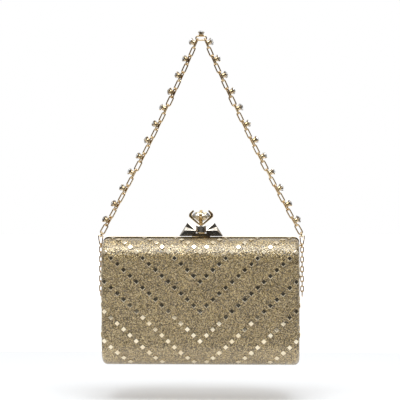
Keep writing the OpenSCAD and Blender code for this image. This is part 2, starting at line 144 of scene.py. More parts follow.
def metal(name, dark, light, rough_low, rough_high, bump=0.02, grain=900.0):
    """Plated metal: slow changes of colour, uneven polish and a very fine grain."""
    made, tree, shader, place = new_material(name)
    shader.inputs["Metallic"].default_value = 1.0
    cloud = node(tree, "ShaderNodeTexNoise", Vector=place, Scale=90.0, Detail=4.0).outputs["Fac"]
    fine = node(tree, "ShaderNodeTexNoise", Vector=place, Scale=grain, Detail=3.0).outputs["Fac"]
    put(tree, shader.inputs["Base Color"], ramp(tree, cloud, [(0.3, dark), (0.7, light)]))
    put(tree, shader.inputs["Roughness"], spread(tree, fine, rough_low, rough_high, 0.3, 0.7))
    raised = node(tree, "ShaderNodeBump", Height=fine, Strength=bump, Distance=0.05 * MM)
    put(tree, shader.inputs["Normal"], raised.outputs[0])
    return made


FLAKE_SCALE = 1900.0
DUST_SCALE = 4300.0
DUST_SHARE = 0.35
FLAKE_TILT = 0.85
COAT_TILT = 0.55


def glitter_cloth():
    """Champagne glitter under a clear coat: flakes that each have their own tilt and tone, with
    finer dust between."""
    made, tree, shader, place = new_material("champagne_glitter")
    flake = node(tree, "ShaderNodeTexVoronoi", Vector=place, Scale=FLAKE_SCALE)
    dust = node(tree, "ShaderNodeTexVoronoi", Vector=place, Scale=DUST_SCALE)
    tone = node(tree, "ShaderNodeSeparateColor", Color=flake.outputs["Color"])
    tone_fine = node(tree, "ShaderNodeSeparateColor", Color=dust.outputs["Color"])
    mixed = math_node(tree, "MULTIPLY_ADD", tone_fine.outputs[0], DUST_SHARE,
                      math_node(tree, "MULTIPLY", tone.outputs[0], 1 - DUST_SHARE))
    cloud = node(tree, "ShaderNodeTexNoise", Vector=place, Scale=60.0, Detail=3.0).outputs["Fac"]
    shade = math_node(tree, "MULTIPLY_ADD", cloud, 0.16, math_node(tree, "SUBTRACT", mixed, 0.08))
    colour = ramp(tree, shade, [
        (0.0, (0.016, 0.010, 0.003)), (0.36, (0.090, 0.058, 0.019)), (0.55, (0.37, 0.255, 0.095)),
        (0.76, (0.79, 0.585, 0.26)), (1.0, (1.0, 0.88, 0.60))])
    put(tree, shader.inputs["Base Color"], colour)
    shader.inputs["Metallic"].default_value = 0.85
    put(tree, shader.inputs["Roughness"], spread(tree, tone.outputs[1], 0.2, 0.45))
    normal = tree.nodes.new("ShaderNodeNewGeometry").outputs["Normal"]
    tilt = vector_node(tree, "SUBTRACT", flake.outputs["Color"], (0.5, 0.5, 0.5))
    tilt_fine = vector_node(tree, "SUBTRACT", dust.outputs["Color"], (0.5, 0.5, 0.5))
    for socket, coarse, fine in (("Normal", FLAKE_TILT, FLAKE_TILT * 0.5),
                                 ("Coat Normal", FLAKE_TILT * COAT_TILT,
                                  FLAKE_TILT * 0.3)):
        both = vector_node(tree, "ADD", vector_node(tree, "SCALE", tilt, scale=coarse),
                           vector_node(tree, "SCALE", tilt_fine, scale=fine))
        put(tree, shader.inputs[socket],
            vector_node(tree, "NORMALIZE", vector_node(tree, "ADD", normal, both)))
    shader.inputs["Coat Weight"].default_value = 1.0
    shader.inputs["Coat Roughness"].default_value = 0.18
    shader.inputs["Coat IOR"].default_value = 1.9
    return made


def satin_cloth():
    """Satin: a fine ribbed weave with a soft sheen."""
    made, tree, shader, place = new_material("bronze_satin")
    wave = node(tree, "ShaderNodeTexWave", {"bands_direction": "DIAGONAL"}, Vector=place,
                Scale=900.0, Distortion=1.2, Detail=2.0).outputs["Fac"]
    cloud = node(tree, "ShaderNodeTexNoise", Vector=place, Scale=35.0, Detail=5.0).outputs["Fac"]
    put(tree, shader.inputs["Base Color"],
        ramp(tree, cloud, [(0.25, (0.17, 0.115, 0.06)), (0.75, (0.33, 0.24, 0.145))]))
    put(tree, shader.inputs["Roughness"], spread(tree, wave, 0.32, 0.5))
    shader.inputs["Sheen Weight"].default_value = 0.6
    shader.inputs["Sheen Roughness"].default_value = 0.3
    shader.inputs["Anisotropic"].default_value = 0.5
    raised = node(tree, "ShaderNodeBump", Height=wave, Strength=0.35, Distance=0.06 * MM)
    put(tree, shader.inputs["Normal"], raised.outputs[0])
    return made


def board_stuff():
    """The moulded shell, hidden between cover and lining."""
    made, tree, shader, place = new_material("moulded_board")
    cloud = node(tree, "ShaderNodeTexNoise", Vector=place, Scale=400.0, Detail=5.0).outputs["Fac"]
    put(tree, shader.inputs["Base Color"],
        ramp(tree, cloud, [(0.3, (0.045, 0.04, 0.035)), (0.7, (0.09, 0.08, 0.07))]))
    put(tree, shader.inputs["Roughness"], spread(tree, cloud, 0.6, 0.85))
    raised = node(tree, "ShaderNodeBump", Height=cloud, Strength=0.3, Distance=0.1 * MM)
    put(tree, shader.inputs["Normal"], raised.outputs[0])
    return made


def cut_crystal(name, tint, ior):
    """Clear cut crystal with faint inner haze."""
    made, tree, shader, place = new_material(name)
    cloud = node(tree, "ShaderNodeTexNoise", Vector=place, Scale=220.0, Detail=2.0).outputs["Fac"]
    put(tree, shader.inputs["Base Color"], ramp(tree, cloud, [(0.3, tint), (0.7, (1.0, 1.0, 1.0))]))
    put(tree, shader.inputs["Roughness"], spread(tree, cloud, 0.0, 0.02))
    shader.inputs["Transmission Weight"].default_value = 1.0
    shader.inputs["IOR"].default_value = ior
    return made


def foiled_crystal():
    """Cut crystal with a mirror foil behind it, as the small stones of a chain have."""
    made, tree, shader, place = new_material("foiled_crystal")
    cell = node(tree, "ShaderNodeTexVoronoi", Vector=place, Scale=700.0)
    tone = node(tree, "ShaderNodeSeparateColor", Color=cell.outputs["Color"]).outputs[0]
    put(tree, shader.inputs["Base Color"], ramp(tree, tone, [
        (0.2, (0.16, 0.15, 0.14)), (0.5, (0.55, 0.55, 0.54)), (0.8, (0.95, 0.95, 0.95))]))
    put(tree, shader.inputs["Roughness"], spread(tree, tone, 0.03, 0.08))
    shader.inputs["Metallic"].default_value = 0.8
    shader.inputs["Coat Weight"].default_value = 0.7
    shader.inputs["Coat Roughness"].default_value = 0.02
    shader.inputs["Coat IOR"].default_value = 1.6
    return made


GLITTER = glitter_cloth()
SATIN = satin_cloth()
BOARD = board_stuff()
GOLD = metal("pale_gold", (0.66, 0.47, 0.235), (0.88, 0.70, 0.42), 0.09, 0.24)
CHAIN_GOLD = metal("chain_gold", (0.60, 0.42, 0.215), (0.86, 0.69, 0.44), 0.07, 0.22, bump=0.03)
STUD_GOLD = metal("stud_gold", (0.80, 0.66, 0.44), (0.96, 0.86, 0.66), 0.03, 0.10, bump=0.01)
NICKEL = metal("warm_nickel", (0.58, 0.50, 0.40), (0.82, 0.77, 0.69), 0.05, 0.16, bump=0.015)
STEEL = metal("plain_steel", (0.42, 0.42, 0.43), (0.62, 0.62, 0.63), 0.2, 0.4, bump=0.05)
CRYSTAL = cut_crystal("clear_crystal", (0.90, 0.93, 0.97), 1.58)
CHAIN_CRYSTAL = foiled_crystal()


# ---- mesh helpers ----

def finish_piece(name, bm, material, body, smooth_angle=35.0, replaced=()):
    """Turns a bmesh into a piece that rides on a body."""
    bmesh.ops.remove_doubles(bm, verts=bm.verts, dist=1e-7)
    bmesh.ops.recalc_face_normals(bm, faces=bm.faces)
    mesh = bpy.data.meshes.new(name)
    bm.to_mesh(mesh)
    bm.free()
    mesh.materials.append(material)
    smooth(mesh, smooth_angle)
    piece = bpy.data.objects.new(name, mesh)
    bpy.context.scene.collection.objects.link(piece)
    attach(piece, body)
    if replaced:
        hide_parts(*replaced)
    return piece


def smooth(mesh, angle):
    """Smooth shading, with edges sharper than the angle kept crisp."""
    mesh.polygons.foreach_set("use_smooth", [angle > 0] * len(mesh.polygons))
    if angle > 0:
        mesh.set_sharp_from_angle(angle=math.radians(angle))
    mesh.update()


def bevel(piece, width, segments=2, angle=30.0):
    made = piece.modifiers.new("edges", "BEVEL")
    made.width = width
    made.segments = segments
    made.limit_method = "ANGLE"
    made.angle_limit = math.radians(angle)
    made.harden_normals = True


def dress(name, material, smooth_angle=35.0, edge=0.0):
    """A CAD node that keeps its shape gets its material, its shading and softened edges."""
    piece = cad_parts[name]
    piece.data.materials.clear()
    piece.data.materials.append(material)
    smooth(piece.data, smooth_angle)
    if edge:
        weld = piece.modifiers.new("weld", "WELD")
        weld.merge_threshold = 1e-6
        bevel(piece, edge)


def loose_parts(name):
    """The points of each separate solid in a CAD node."""
    bm = bmesh.new()
    bm.from_mesh(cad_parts[name].data)
    bmesh.ops.remove_doubles(bm, verts=bm.verts, dist=1e-6)
    bm.verts.ensure_lookup_table()
    seen, parts = set(), []
    for start in bm.verts:
        if start.index in seen:
            continue
        stack, points = [start], []
        seen.add(start.index)
        while stack:
            v = stack.pop()
            points.append(v.co.copy())
            for e in v.link_edges:
                other = e.other_vert(v)
                if other.index not in seen:
                    seen.add(other.index)
                    stack.append(other)
        parts.append(points)
    bm.free()
    return parts


def middle(points):
    """Middle of the box round some points."""
    return Vector([(min(p[i] for p in points) + max(p[i] for p in points)) / 2 for i in range(3)])


def upright(place, out):
    """A frame at a place whose Z points out."""
    return Matrix.Translation(place) @ out.to_track_quat("Z", "Y").to_matrix().to_4x4()


def lathe(bm, profile, steps, matrix):
    """Revolves a profile of (radius, height) about Z."""
    rings = []
    for r, z in profile:
        if r < 1e-9:
            rings.append([bm.verts.new(matrix @ Vector((0, 0, z)))])
            continue
        rings.append([
            bm.verts.new(matrix @ Vector((
                r * math.cos(2 * math.pi * k / steps), r * math.sin(2 * math.pi * k / steps), z)))
            for k in range(steps)])
    for a, b in zip(rings, rings[1:]):
        for k in range(steps):
            j = (k + 1) % steps
            corners = [a[k % len(a)], a[j % len(a)], b[j % len(b)], b[k % len(b)]]
            corners = [v for i, v in enumerate(corners) if v not in corners[:i]]
            if len(corners) > 2:
                bm.faces.new(corners)


# ---- the case's surface ----

def on_cover(across, up, inset=0.0):
    """Place, sideways, upward and outward directions on the back half, for distances over the
    surface from the middle of its face. Negative distances across are on the left."""
    side = -1 if across < 0 else 1
    across = abs(across)
    turn = min(math.pi / 2, max(0.0, across - CORE_HALF) / END_R)
    past = max(0.0, across - CORE_HALF - END_EDGE)
    sunk = END_R * (1 - math.cos(turn)) + past + inset * math.cos(turn)
    beyond = abs(up) - FACE_HALF
    roll = math.copysign(min(beyond / ROLL_R, math.pi / 2), up) if beyond > 0 else 0.0
    flat = max(0.0, beyond - ROLL_R * math.pi / 2)
    straight = max(-FACE_HALF, min(FACE_HALF, up))
    ny, nz = math.cos(roll), math.sin(roll)
    x = min(across, CORE_HALF) + (END_R - inset) * math.sin(turn)
    y = HALF_DEPTH - ROLL_R + (ROLL_R - sunk) * ny - flat
    z = MID_Z + straight + (ROLL_R - sunk) * nz
    c, s = math.cos(turn), math.sin(turn)
    return (Vector((side * x, y, z)), Vector((side * c, -s * ny, -s * nz)),
            Vector((0, -nz, ny)), Vector((side * s, c * ny, c * nz)))


def halves():
    """Name, body and mirror of the two halves."""
    yield "back", "back_half", Matrix.Identity(4)
    yield "front", "front_half", Matrix.Scale(-1, 4, Vector((0, 1, 0)))


RELIEF_FADE = 3 * MM


def case_skin(bm, matrix, inset, step, relief):
    """A skin over one half at an inset: a grid over the face, rolls and end edges, with the end
    walls closed ring by ring. relief gives a height for a place, and fades out at the rim."""
    top = FACE_HALF + ROLL_R * math.pi / 2 + (HALF_DEPTH - ROLL_R - RIM_Y)
    wall = ROLL_R - END_R - END_WALL_GAP
    half_across = CORE_HALF + END_EDGE + wall
    columns = 2 * round(half_across / step)
    rows = 2 * round(top / step)
    grid = []
    for i in range(columns + 1):
        across = half_across * (2 * i / columns - 1)
        line = []
        for j in range(rows + 1):
            up = top * (2 * j / rows - 1)
            place, _, _, out = on_cover(across, up, inset)
            held = min(1.0, (top - abs(up)) / RELIEF_FADE)
            line.append(bm.verts.new(matrix @ (place + out * relief(place) * held)))
        grid.append(line)
    for a, b in zip(grid, grid[1:]):
        for j in range(rows):
            bm.faces.new([a[j], a[j + 1], b[j + 1], b[j]])
    for line in (grid[0], grid[-1]):
        bm.faces.new(line)


def grain(place):
    """Small unevenness of the glued cloth and its flakes: heights and how often they repeat."""
    return sum(height * MM * noise.noise(place * often)
               for height, often in ((0.05, 700), (0.03, 1900), (0.08, 60)))


def puckers(place):
    """Soft gathers of the glued lining, stronger towards its corners."""
    pull = min(1.0, abs(place.x) / CASE_HALF)
    stretched = Vector((place.x * 160, place.y * 60, place.z * 45))
    return 0.25 * MM * noise.noise(stretched) * (0.3 + pull)


COVER_STEP = 1.1 * MM
LINING_STEP = 1.6 * MM
SKIN_GAP = 0.15 * MM


def make_covers():
    for name, body, matrix in halves():
        bm = bmesh.new()
        case_skin(bm, matrix, 0.0, COVER_STEP, grain)
        piece = finish_piece(name + "_glitter_cover", bm, GLITTER, body, 60.0,
                             [name + "_cover"])
        thick(piece, COVER_T * 0.9)


def thick(piece, thickness):
    made = piece.modifiers.new("cloth", "SOLIDIFY")
    made.thickness = thickness
    made.offset = -1.0


def make_linings():
    for name, body, matrix in halves():
        bm = bmesh.new()
        case_skin(bm, matrix, COVER_T + SHELL_T + SKIN_GAP, LINING_STEP, puckers)
        piece = finish_piece(name + "_satin_lining", bm, SATIN, body, 60.0,
                             [name + "_lining"])
        thick(piece, LINING_T * 0.7)


# ---- studs ----

STUD_SIDE = 3.8 * MM
STUD_ACROSS = 5.9 * MM
STUD_UP = 5.45 * MM
ARM_STUDS = 18
CHEVRONS = 9
CHEVRON_PITCH = 27.3 * MM
CHEVRON_TOP = 46.8 * MM
# how far the studs go over the rolls and on the end walls
RIM_GAP = 1 * MM
LOW_ROLL = math.radians(65)
SEAM_GAP = 11 * MM
# how far they reach into the corners between roll and end wall
CORNER_ACROSS = 3 * MM
CORNER_UP = 2 * MM
# a stud's outline: shares of half its diagonal, and heights
STUD_RINGS = ((1, 0.04 * MM), (1, 0.64 * MM), (0.98, 0.70 * MM), (0.85, 0.81 * MM),
              (0.83, 0.82 * MM))
STUD_CLIP = 0.07
STUD_LEAN = math.radians(0.45)
STUD_STRAY = 0.12 * MM


def chevron_spots():
    """Distances across and up of every stud on one half."""
    top = FACE_HALF + ROLL_R * math.pi / 2 - RIM_GAP
    low = -(FACE_HALF + ROLL_R * LOW_ROLL)
    far = CORE_HALF + END_EDGE + HALF_DEPTH - END_R - SEAM_GAP
    for row in range(CHEVRONS):
        for i in range(ARM_STUDS + 1):
            across = i * STUD_ACROSS
            up = CHEVRON_TOP - row * CHEVRON_PITCH + i * STUD_UP
            near_face = across < CORE_HALF + CORNER_ACROSS or abs(up) < FACE_HALF + CORNER_UP
            if low <= up <= top and across <= far and near_face:
                yield across, up
                if i:
                    yield -across, up


def add_stud(bm, matrix, spot):
    """A square stud on its point, with clipped corners, a skirt, bevels and a flat top. It leans
    a little at random."""
    place, sideways, upward, out = spot
    half = STUD_SIDE * math.sqrt(0.5)
    lean = Vector((random.uniform(-1, 1), random.uniform(-1, 1))) * STUD_LEAN
    tilted = (out + sideways * lean.x + upward * lean.y).normalized()
    sideways = (sideways - tilted * sideways.dot(tilted)).normalized()
    upward = tilted.cross(sideways) * (1 if tilted.cross(sideways).dot(upward) > 0 else -1)
    rings = []
    for share, height in STUD_RINGS:
        d = half * share
        clip = STUD_CLIP * d
        corners = [(d - clip, -clip), (d - clip, clip), (clip, d - clip), (-clip, d - clip),
                   (clip - d, clip), (clip - d, -clip), (-clip, clip - d), (clip, clip - d)]
        rings.append([
            bm.verts.new(matrix @ (place + sideways * a + upward * b + tilted * height))
            for a, b in corners])
    for a, b in zip(rings, rings[1:]):
        for k in range(8):
            bm.faces.new([a[k], a[(k + 1) % 8], b[(k + 1) % 8], b[k]])
    bm.faces.new(rings[-1])
    bm.faces.new(rings[0][::-1])


def make_studs():
    for name, body, matrix in halves():
        bm = bmesh.new()
        for across, up in chevron_spots():
            stray = random.uniform(-STUD_STRAY, STUD_STRAY)
            add_stud(bm, matrix, on_cover(across + stray, up + stray * 0.5))
        finish_piece(name + "_pyramid_studs", bm, STUD_GOLD, body, 5.0,
                     [name + "_studs"])


# ---- cut stones and their settings ----

def add_brilliant(bm, matrix, radius, crown, girdle, pavilion, table, n=8):
    """A round brilliant about Z with its girdle's top edge at height 0. table is a share of the
    radius, and n the number of main facets."""
    def at(r, z, k, count):
        a = 2 * math.pi * k / count
        return bm.verts.new(matrix @ Vector((r * math.cos(a), r * math.sin(a), z)))

    half = math.cos(math.pi / n)
    table_r = radius * table
    star_r = (radius + table_r) / 2 * 1.02
    star_z = crown * (radius - star_r * half) / (radius - table_r)
    low_r = radius * 0.24
    low_z = -girdle - (radius - low_r * half) * (pavilion - girdle) / radius
    tops = [at(table_r, crown, k, n) for k in range(n)]
    stars = [at(star_r, star_z, k + 0.5, n) for k in range(n)]
    upper = [at(radius, 0, k, 2 * n) for k in range(2 * n)]
    lower = [at(radius, -girdle, k, 2 * n) for k in range(2 * n)]
    mains = [at(low_r, low_z, k + 0.5, n) for k in range(n)]
    culet = bm.verts.new(matrix @ Vector((0, 0, -pavilion)))
    bm.faces.new(tops)
    for k in range(n):
        j, before = (k + 1) % n, (k - 1) % n
        a, b, c = 2 * k, 2 * k + 1, (2 * k + 2) % (2 * n)
        bm.faces.new([tops[k], stars[k], tops[j]])
        bm.faces.new([tops[k], stars[before], upper[a]])
        bm.faces.new([tops[k], upper[a], stars[k]])
        bm.faces.new([stars[k], upper[a], upper[b]])
        bm.faces.new([stars[k], upper[b], upper[c]])
        bm.faces.new([upper[a], lower[a], lower[b], upper[b]])
        bm.faces.new([upper[b], lower[b], lower[c], upper[c]])
        bm.faces.new([lower[a], mains[k], lower[b]])
        bm.faces.new([lower[b], mains[k], lower[c]])
        bm.faces.new([lower[a], mains[before], culet])
        bm.faces.new([lower[a], culet, mains[k]])


STRIP_SIDES = 12


def strip(bm, path, widths, depths, sideways, matrix):
    """A strip with rounded edges along a path in the XZ plane; widths run across, depths in it."""
    rings = []
    for i, p in enumerate(path):
        ahead = (path[min(i + 1, len(path) - 1)] - path[max(i - 1, 0)]).normalized()
        out = ahead.cross(sideways).normalized()
        w, d = widths[i] / 2, depths[i] / 2
        ring = []
        for k in range(STRIP_SIDES):
            a = 2 * math.pi * k / STRIP_SIDES
            squared = (abs(math.cos(a)) ** 4 + abs(math.sin(a)) ** 4) ** -0.25
            ring.append(bm.verts.new(matrix @ (
                p + sideways * (w * math.cos(a) * squared) + out * (d * math.sin(a) * squared))))
        rings.append(ring)
    for a, b in zip(rings, rings[1:]):
        for k in range(STRIP_SIDES):
            j = (k + 1) % STRIP_SIDES
            bm.faces.new([a[k], a[j], b[j], b[k]])
    bm.faces.new(rings[0])
    bm.faces.new(rings[-1][::-1])


def smooth_path(corners, steps):
    """A Catmull-Rom curve through given corners."""
    ends = [corners[0] * 2 - corners[1]] + list(corners) + [corners[-1] * 2 - corners[-2]]
    path = []
    for a, b, c, d in zip(ends, ends[1:], ends[2:], ends[3:]):
        for i in range(steps):
            t = i / steps
            path.append(0.5 * (2 * b + (c - a) * t + (2 * a - 5 * b + 4 * c - d) * t * t
                               + (3 * b - a - 3 * c + d) * t ** 3))
    path.append(corners[-1].copy())
    return path


# a chain link's wire, and the stone that stands on it
WIRE_R = 0.65 * MM
STONE_RISE = 1.5 * MM
GIRDLE_H = 3.75 * MM
GEM_R = 3.25 * MM
GEM_CROWN = 1.4 * MM
GEM_GIRDLE = 0.6 * MM
GEM_PAVILION = 2.3 * MM
GEM_TABLE = 0.45
CLAW_N = 4
SMALL_CLAW_LINE = ((2.1, 1.5), (2.9, 2.6), (3.4, 3.3), (3.4, 3.75), (3.1, 4.1))
LATHE_STEPS = 32


def add_basket(bm, matrix, rise):
    """A stone's cup on its link: a soldered foot, a collar, a bowl under the pavilion and four
    small claws over the girdle."""
    lathe(bm, [(0, WIRE_R), (2.3 * MM, WIRE_R), (2.45 * MM, WIRE_R + 0.25 * MM),
               (2.4 * MM, WIRE_R + 0.5 * MM + rise * 0.2),
               (2.15 * MM, WIRE_R + 0.65 * MM + rise * 0.3),
               (2.1 * MM, WIRE_R + 0.7 * MM + rise * 0.45), (2.25 * MM, 1.5 * MM + rise),
               (2.3 * MM, 1.65 * MM + rise), (2.1 * MM, 1.7 * MM + rise),
               (1.3 * MM, 1.4 * MM + rise), (0, 1.2 * MM + rise)], LATHE_STEPS, matrix)
    for k in range(CLAW_N):
        turned = matrix @ Matrix.Rotation(2 * math.pi * (k + 0.5) / CLAW_N, 4, "Z")
        path = smooth_path([Vector((x * MM, 0, z * MM + rise)) for x, z in SMALL_CLAW_LINE], 3)
        n = len(path)
        widths = [(0.55 - 0.2 * i / n) * MM for i in range(n)]
        depths = [(0.4 - 0.15 * i / n) * MM for i in range(n)]
        strip(bm, path, widths, depths, Vector((0, 1, 0)), turned)


def add_gem(bm, seat, rise):
    """The stone on its cup: a deep girdle and a high crown, so that it shows well from the side."""
    girdle = seat @ Matrix.Translation((0, 0, GIRDLE_H + rise))
    add_brilliant(bm, girdle, GEM_R, GEM_CROWN, GEM_GIRDLE, GEM_PAVILION, GEM_TABLE)


def gem_places(links, stones):
    """Place and outward direction of each stone's link: the stone's middle stands straight out
    from the middle of its link."""
    centres = [middle(p) for p in loose_parts(links)]
    for points in loose_parts(stones):
        stone = middle_of_mass(points)
        link = min(centres, key=lambda c: (c - stone).length)
        yield link, (stone - link).normalized()


def middle_of_mass(points):
    total = Vector((0, 0, 0))
    for p in points:
        total += p
    return total / len(points)


def set_stones(prefix, body, links, stones, settings):
    baskets, gems = bmesh.new(), bmesh.new()
    for place, out in gem_places(links, stones):
        seat = upright(place, out) @ Matrix.Rotation(random.uniform(0, 1.5), 4, "Z")
        add_basket(baskets, seat, STONE_RISE)
        add_gem(gems, seat, STONE_RISE)
    finish_piece(prefix + "_claw_baskets", baskets, CHAIN_GOLD, body, 30.0,
                 [settings])
    finish_piece(prefix + "_cut_stones", gems, CHAIN_CRYSTAL, body, 0.0, [stones])


def make_chain():
    for side in ("left", "right"):
        for tier in ("upper", "middle", "lower"):
            group = side + "_" + tier
            dress(group + "_links", CHAIN_GOLD, 50.0)
            set_stones(group, tier + "_chain", group + "_links", group + "_stones",
                       group + "_settings")
        for name in ("_jump_ring", "_bail", "_tail"):
            dress(side + name, CHAIN_GOLD, 50.0)
        dress(side + "_eye", GOLD, 50.0)
    dress("crown_link", CHAIN_GOLD, 50.0)
    link_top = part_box("crown_link")[1].z
    crown = bmesh.new()
    gem = bmesh.new()
    seat = upright(Vector((0, 0, link_top - WIRE_R)), Vector((0, 0, 1)))
    add_basket(crown, seat, 0)
    add_gem(gem, seat, 0)
    finish_piece("crown_claw_basket", crown, CHAIN_GOLD, "crown", 30.0,
                 ["crown_setting"])
    finish_piece("crown_cut_stone", gem, CHAIN_CRYSTAL, "crown", 0.0, ["crown_stone"])


# ---- clasp ----

# the centre stone
CENTRE_GIRDLE_H = 19.9 * MM
CENTRE_GIRDLE = 0.5 * MM
CENTRE_TABLE = 0.58
CENTRE_TURN = math.radians(11)

# the knot: flutes, how deep they are cut, and shares of its height and width
KNOT_FLUTES = 9
KNOT_CUT = 0.84
KNOT_OUTLINE = ((0.0, 0.93), (0.06, 1.0), (0.25, 0.99), (0.5, 0.97), (0.75, 0.99), (0.94, 1.0),
                (1.0, 0.93))


def make_clasp():
    make_bow()
    for name in ("latch_plate", "thumb_lever", "striker"):
        dress(name, GOLD, 30.0, 0.08 * MM)
    for name in ("latch_pin", "latch_spring", "catch_magnet", "hinge_pin"):
        dress(name, STEEL, 40.0)
    low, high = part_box("centre_stone")
    axis = Vector(((low.x + high.x) / 2, (low.y + high.y) / 2, 0))
    radius = (high.x - low.x) / 2
    girdle_z = FRAME_TOP + CENTRE_GIRDLE_H
    bm = bmesh.new()
    place = Matrix.Translation((axis.x, axis.y, girdle_z)) @ Matrix.Rotation(CENTRE_TURN, 4, "Z")
    add_brilliant(bm, place, radius, high.z - girdle_z, CENTRE_GIRDLE, girdle_z - low.z,
                  CENTRE_TABLE)
    finish_piece("centre_brilliant", bm, CRYSTAL, "clasp_lever", 0.0, ["centre_stone"])
    make_claws(axis)


def wing_faces():
    """Facets of one side of the right wing, as corners in millimetres: X outward, Y away from
    the wing's middle plane, Z up from the frame's top."""
    low_in, low_out, low_tip = (4.83, 2.8, 0.5), (18.8, 2.8, 0.5), (20.7, 1.9, 0.5)
    mid_in, mid_out = (4.83, 2.75, 5.8), (15.4, 2.75, 5.8)
    ridge_in, ridge_mid, ridge_out = (4.83, 1.0, 9.2), (9.6, 1.0, 9.3), (14.4, 1.0, 9.4)
    top_in, top_out, top_mid = (4.83, 0.35, 9.5), (13.0, 0.35, 12.9), (12.6, 0.35, 12.75)
    return [
        (low_in, low_out, mid_out, mid_in), (mid_in, mid_out, ridge_out, ridge_mid, ridge_in),
        (ridge_in, ridge_mid, top_mid, top_in), (ridge_mid, ridge_out, top_out, top_mid),
        (low_out, low_tip, top_out, ridge_out, mid_out)]


def make_bow():
    """Two cut wings and a fluted knot between them."""
    low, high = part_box("bow_right_wing")
    mid_y = (low.y + high.y) / 2
    outlines = wing_faces()
    for name, side in (("bow_right_wing", 1), ("bow_left_wing", -1)):
        bm = bmesh.new()
        for facing in (-1, 1):
            for corners in outlines:
                bm.faces.new([bm.verts.new((side * x * MM, mid_y + facing * y * MM,
                                            FRAME_TOP + z * MM)) for x, y, z in corners])
        bmesh.ops.remove_doubles(bm, verts=bm.verts, dist=0.01 * MM)
        bmesh.ops.holes_fill(bm, edges=bm.edges, sides=12)
        bmesh.ops.recalc_face_normals(bm, faces=bm.faces)
        bmesh.ops.triangulate(bm, faces=[f for f in bm.faces if len(f.verts) > 4])
        piece = finish_piece(name + "_cut", bm, NICKEL, "clasp_lever", 8.0, [name])
        bevel(piece, 0.1 * MM, 2, 12.0)
    low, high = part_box("bow_knot")
    bm = bmesh.new()
    rings = []
    for z, wide in KNOT_OUTLINE:
        ring = []
        for k in range(2 * KNOT_FLUTES):
            a = math.pi * (k + 0.5) / KNOT_FLUTES
            cut = 1.0 if k % 2 else KNOT_CUT
            ring.append(bm.verts.new((
                (high.x - low.x) / 2 * wide * cut * math.cos(a),
                mid_y + (high.y - low.y) / 2 * wide * cut * math.sin(a),
                low.z + (high.z - low.z) * z)))
        rings.append(ring)
    for a, b in zip(rings, rings[1:]):
        for k in range(2 * KNOT_FLUTES):
            j = (k + 1) % (2 * KNOT_FLUTES)
            bm.faces.new([a[k], a[j], b[j], b[k]])
    bm.faces.new(rings[0][::-1])
    bm.faces.new(rings[-1])
    finish_piece("bow_knot_fluted", bm, NICKEL, "clasp_lever", 18.0, ["bow_knot"])


# the centre stone's stem, as radius and height, and the middle line of a claw
STEM_OUTLINE = ((0, 10.42), (1.9, 10.42), (2.0, 10.7), (1.45, 11.0), (1.35, 11.7), (0.9, 12.1),
                (0, 12.15))
CLAW_LINE = ((0.7, 10.9), (2.6, 12.4), (7.2, 16.5), (9.75, 18.9), (10.05, 20.3), (9.4, 22.0),
             (7.0, 24.6))


def make_claws(axis):
    """The centre stone's stem and four flattened claws that fold over its girdle."""
    bm = bmesh.new()
    foot = Matrix.Translation((axis.x, axis.y, FRAME_TOP))
    lathe(bm, [(r * MM, z * MM) for r, z in STEM_OUTLINE], LATHE_STEPS, foot)
    path = smooth_path([Vector((r * MM, 0, z * MM)) for r, z in CLAW_LINE], 4)
    n = len(path) - 1
    for k in range(CLAW_N):
        turned = foot @ Matrix.Rotation(2 * math.pi / CLAW_N * k, 4, "Z")
        widths = [(2.9 + 0.6 * math.sin(math.pi * min(1, 1.3 * i / n)) - 0.5 * (i / n) ** 3) * MM
                  for i in range(n + 1)]
        depths = [(1.5 + 1.2 * math.sin(math.pi * (i / n) ** 1.5)) * MM for i in range(n + 1)]
        strip(bm, path, widths, depths, Vector((0, 1, 0)), turned)
    finish_piece("four_claw_setting", bm, GOLD, "clasp_lever", 35.0,
                 ["stone_setting"])


# ---- frame, shells and pocket ----

def make_case_metal():
    for name in ("back_frame", "front_frame"):
        dress(name, GOLD, 30.0, 0.6 * MM)
    for name in ("back_shell", "front_shell"):
        dress(name, BOARD, 40.0)


POCKET_EDGE = 1.2 * MM
POCKET_BOW = 0.3 * MM
POCKET_DIP = 0.8 * MM
POCKET_RIPPLE = 0.12 * MM
HEM_WIDTH = 1.1 * MM
HEM_DEPTH = 1.6 * MM


def make_pocket():
    """The slip pocket: a satin panel, turned in at its sides and foot, whose top edge dips a
    little, with a rolled hem along it."""
    low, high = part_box("slip_pocket")
    bm = bmesh.new()
    columns, rows = 48, 30
    grid = []
    for i in range(columns + 1):
        line = []
        for j in range(rows + 1):
            u, v = i / columns, j / rows
            slack = math.sin(math.pi * u) * v ** 2
            back = POCKET_EDGE * max(0.0, 1 - min(u, 1 - u, v) * 30)
            y = low.y + 0.5 * MM + back - slack * POCKET_BOW
            x = low.x + (high.x - low.x) * u
            z = low.z + (high.z - low.z) * v - POCKET_DIP * slack * math.sin(math.pi * u)
            y += POCKET_RIPPLE * noise.noise(Vector((x * 90, 0, z * 50)))
            line.append(bm.verts.new(Vector((x, y, z))))
        grid.append(line)
    for a, b in zip(grid, grid[1:]):
        for j in range(rows):
            bm.faces.new([a[j], b[j], b[j + 1], a[j + 1]])
    hem = [line[-1].co.copy() for line in grid]
    panel = finish_piece("satin_slip_pocket", bm, SATIN, "back_half", 60.0,
                         ["slip_pocket"])
    thick(panel, 0.4 * MM)
    bm = bmesh.new()
    n = len(hem)
    strip(bm, hem, [HEM_WIDTH] * n, [HEM_DEPTH] * n, Vector((0, 1, 0)), Matrix.Identity(4))
    rolled = finish_piece("pocket_hem", bm, SATIN, "back_half", 60.0)


# ---- floor, lights and camera ----

